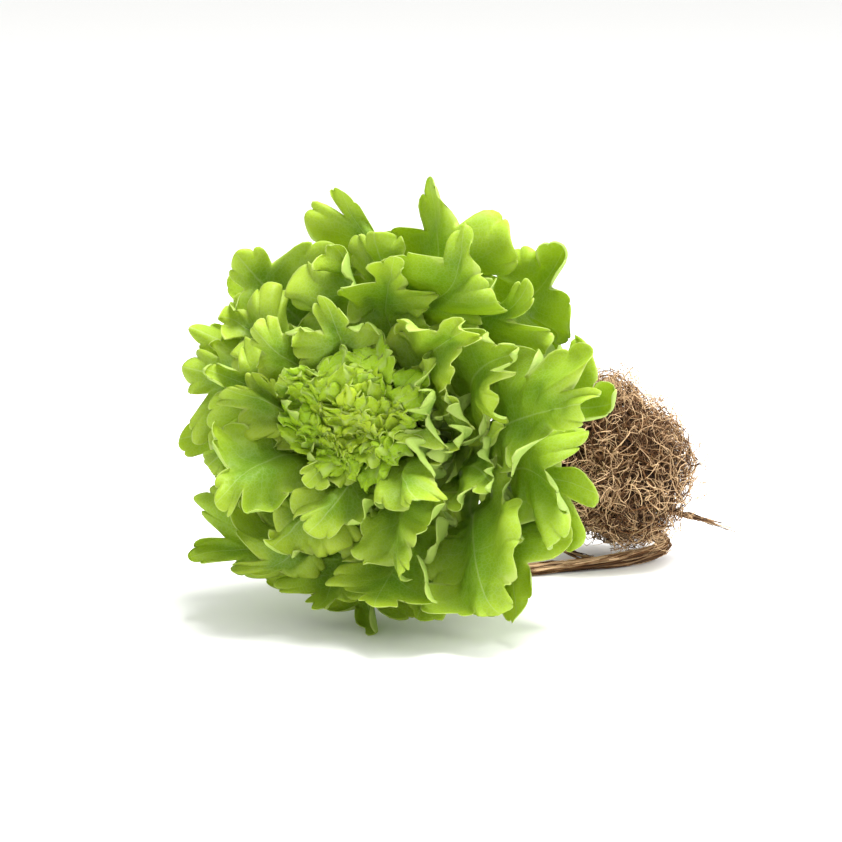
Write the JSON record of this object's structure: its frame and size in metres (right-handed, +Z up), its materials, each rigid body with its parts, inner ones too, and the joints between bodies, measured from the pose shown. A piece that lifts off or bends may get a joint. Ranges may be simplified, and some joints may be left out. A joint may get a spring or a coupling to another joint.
{
  "type": "oak leaf lettuce with roots",
  "caption": "Loose head of lobed, curled green lettuce leaves lying on its side, with a frilled heart, a short stem and a brown tangled root ball.",
  "frame": {"origin": "centre of the bounding box in plan, on the surface it lies on", "axes": "+Z up from the surface; -Y the way the rosette of the head faces, 16 degrees above the horizontal; +Y towards the roots"},
  "size_m": [0.266, 0.3012, 0.2483],
  "materials": {
    "leaf": "matte green blade with a soft sheen",
    "heart": "matte yellow-green",
    "stem": "pale, matte",
    "roots": "dry brown fibres"
  },
  "bodies": {
    "root": {"leaf_01": "leaf", "leaf_02": "leaf", "leaf_03": "leaf", "leaf_04": "leaf", "leaf_05": "leaf", "leaf_06": "leaf", "leaf_07": "leaf", "leaf_08": "leaf", "leaf_09": "leaf", "leaf_10": "leaf", "leaf_11": "leaf", "leaf_12": "leaf", "leaf_13": "leaf", "leaf_14": "leaf", "leaf_15": "leaf", "leaf_16": "leaf", "leaf_17": "leaf", "leaf_18": "leaf", "leaf_19": "leaf", "leaf_20": "leaf", "leaf_21": "leaf", "leaf_22": "leaf", "leaf_23": "leaf", "leaf_24": "leaf", "leaf_25": "leaf", "leaf_26": "leaf", "leaf_27": "leaf", "leaf_28": "leaf", "leaf_29": "leaf", "leaf_30": "leaf", "leaf_31": "leaf", "leaf_32": "leaf", "leaf_33": "leaf", "leaf_34": "leaf", "leaf_35": "leaf", "leaf_36": "leaf", "leaf_37": "leaf", "leaf_38": "leaf", "leaf_39": "leaf", "leaf_40": "leaf", "leaf_41": "leaf", "leaf_42": "leaf", "leaf_43": "leaf", "leaf_44": "leaf", "heart": "heart", "stem": "stem", "roots": "roots"}
  },
  "joints": []
}
